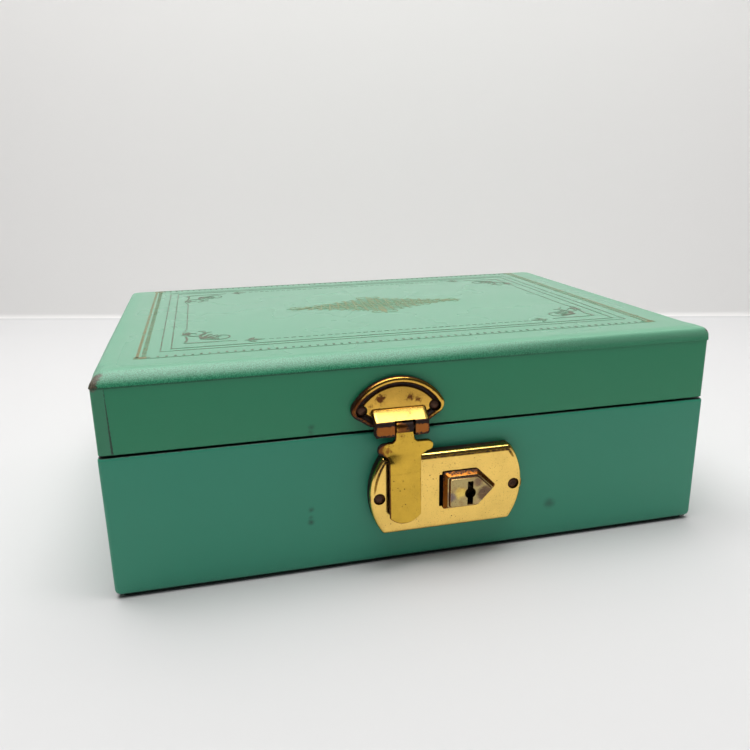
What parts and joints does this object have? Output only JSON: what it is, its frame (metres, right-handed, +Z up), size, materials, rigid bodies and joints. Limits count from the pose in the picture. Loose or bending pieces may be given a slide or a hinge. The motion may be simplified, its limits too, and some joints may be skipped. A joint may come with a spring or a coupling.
{
  "type": "ring box",
  "caption": "Rectangular covered wooden jewel case with a tooled hinged lid, a brass hasp, a sliding lock button and velvet ring rolls inside.",
  "frame": {"origin": "centre of the underside, where the box rests", "axes": "+X to the right seen from the front, +Y to the back (the hinges), +Z up"},
  "size_m": [0.1778, 0.138, 0.0635],
  "materials": {
    "leatherette": "sea-green pebble-grain leatherette, satin sheen, gold tooling on the lid",
    "board": "plain softwood board",
    "paper": "dark matte lining paper",
    "satin": "champagne satin",
    "velvet": "short-pile champagne velvet",
    "brass": "polished yellow brass plate, specked and worn",
    "aged_brass": "darkened brass plate",
    "steel": "dull dark steel"
  },
  "bodies": {
    "base": {"base_back_board": "board", "base_bottom_board": "board", "base_cover": "leatherette", "base_front_board": "board", "base_left_board": "board", "base_right_board": "board", "base_underside_paper": "paper", "collar_back": "satin", "collar_front": "satin", "collar_left": "satin", "collar_right": "satin", "compartment_pad": "velvet", "partition": "satin", "ring_bed": "velvet", "ring_roll_1": "velvet", "ring_roll_2": "velvet", "ring_roll_3": "velvet", "ring_roll_4": "velvet", "ring_roll_5": "velvet", "lock_back_plate": "aged_brass", "lock_case": "brass", "lock_nail_1": "steel", "lock_nail_2": "steel", "left_hinge_base_leaf": "brass", "left_hinge_base_screw_1": "steel", "left_hinge_base_screw_2": "steel", "left_hinge_pin": "steel", "right_hinge_base_leaf": "brass", "right_hinge_base_screw_1": "steel", "right_hinge_base_screw_2": "steel", "right_hinge_pin": "steel"},
    "lid": {"lid_back_board": "board", "lid_cover": "leatherette", "lid_front_board": "board", "lid_left_board": "board", "lid_lining": "satin", "lid_pad": "satin", "lid_right_board": "board", "lid_top_board": "board", "left_hinge_lid_leaf": "brass", "left_hinge_lid_screw_1": "steel", "left_hinge_lid_screw_2": "steel", "right_hinge_lid_leaf": "brass", "right_hinge_lid_screw_1": "steel", "right_hinge_lid_screw_2": "steel", "hasp_plate": "aged_brass", "hasp_plate_nail_1": "steel", "hasp_plate_nail_2": "steel", "hasp_pin": "aged_brass"},
    "hasp": {"hasp": "aged_brass", "hasp_staple": "brass"},
    "slide": {"slide_button": "brass", "latch_bolt": "steel", "latch_spring": "steel"},
    "cam": {"key_cam": "aged_brass"}
  },
  "joints": [
    {"name": "lid_hinge", "type": "hinge", "parent": "base", "child": "lid", "pos_m": [0, 0.0659, 0.0414], "axis": [-1, 0, 0], "range_deg": [0, 100]},
    {"name": "hasp_hinge", "type": "hinge", "parent": "lid", "child": "hasp", "pos_m": [-0.0087, -0.0674, 0.0434], "axis": [-1, 0, 0], "range_deg": [0, 90]},
    {"name": "button_slide", "type": "slide", "parent": "base", "child": "slide", "axis": [1, 0, 0], "range_m": [-0.0032, 0]},
    {"name": "key_turn", "type": "hinge", "parent": "slide", "child": "cam", "pos_m": [0.0102, -0.065, 0.0222], "axis": [0, -1, 0], "range_deg": [0, 90]}
  ]
}
